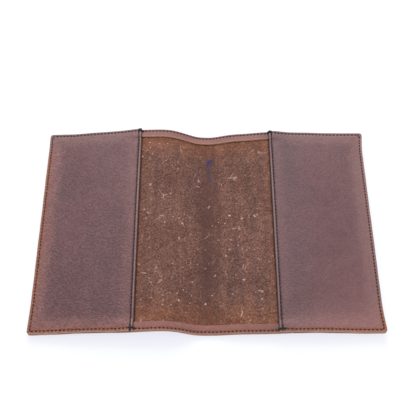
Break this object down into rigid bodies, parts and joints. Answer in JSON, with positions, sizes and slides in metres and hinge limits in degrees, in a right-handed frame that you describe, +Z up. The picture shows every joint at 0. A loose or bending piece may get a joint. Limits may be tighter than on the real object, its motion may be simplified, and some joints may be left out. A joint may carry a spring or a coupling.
{
  "type": "passport holder",
  "caption": "Open leather passport holder with a pocket at each side, hem strips and a stitched edge; both halves fold up over the spine.",
  "frame": {"origin": "middle of the spine's underside, on the table", "axes": "+X along the open width towards the right pocket, +Y along the spine towards the top edge, +Z up"},
  "size_m": [0.1983, 0.1412, 0.01],
  "materials": {
    "cover_leather": "pull-up leather, fibrous flesh side inwards",
    "pocket_leather": "smooth pebbled pull-up leather, waxy",
    "strip_leather": "smooth pull-up leather, raw cut edge",
    "thread": "waxed twisted thread"
  },
  "bodies": {
    "spine": {"outer_cover_spine": "cover_leather", "top_strip_spine": "strip_leather", "bottom_strip_spine": "strip_leather", "needle_thread_spine": "thread", "bobbin_thread_spine": "thread"},
    "left_gutter": {"outer_cover_left_gutter": "cover_leather", "top_strip_left_gutter": "strip_leather", "bottom_strip_left_gutter": "strip_leather", "needle_thread_left_gutter": "thread", "bobbin_thread_left_gutter": "thread"},
    "left_board": {"outer_cover_left_board": "cover_leather", "top_strip_left_end": "strip_leather", "bottom_strip_left_end": "strip_leather", "left_pocket": "pocket_leather", "needle_thread_left_board": "thread", "bobbin_thread_left_board": "thread", "left_mouth_thread": "thread", "top_left_tack": "thread", "bottom_left_tack": "thread"},
    "right_gutter": {"outer_cover_right_gutter": "cover_leather", "top_strip_right_gutter": "strip_leather", "bottom_strip_right_gutter": "strip_leather", "needle_thread_right_gutter": "thread", "bobbin_thread_right_gutter": "thread"},
    "right_board": {"outer_cover_right_board": "cover_leather", "top_strip_right_end": "strip_leather", "bottom_strip_right_end": "strip_leather", "right_pocket": "pocket_leather", "needle_thread_right_board": "thread", "bobbin_thread_right_board": "thread", "right_mouth_thread": "thread", "top_right_tack": "thread", "bottom_right_tack": "thread"}
  },
  "joints": [
    {"name": "left_spine_fold", "type": "hinge", "parent": "spine", "child": "left_gutter", "pos_m": [-0.0055, 0, 0.0014], "axis": [0, 1, 0], "range_deg": [0, 67.5]},
    {"name": "left_crest_flex", "type": "hinge", "parent": "left_gutter", "child": "left_board", "pos_m": [-0.02259, 0, 0.00848], "axis": [0, 1, 0], "range_deg": [0, 26.6]},
    {"name": "right_spine_fold", "type": "hinge", "parent": "spine", "child": "right_gutter", "pos_m": [0.0055, 0, 0.0014], "axis": [0, -1, 0], "range_deg": [0, 80]},
    {"name": "right_crest_flex", "type": "hinge", "parent": "right_gutter", "child": "right_board", "pos_m": [0.01929, 0, 0.00383], "axis": [0, -1, 0], "range_deg": [0, 9.5]}
  ],
  "couplings": [
    {"joint": "left_crest_flex", "follows": "left_spine_fold", "ratio": 0.39407},
    {"joint": "right_crest_flex", "follows": "right_spine_fold", "ratio": 0.11875}
  ]
}
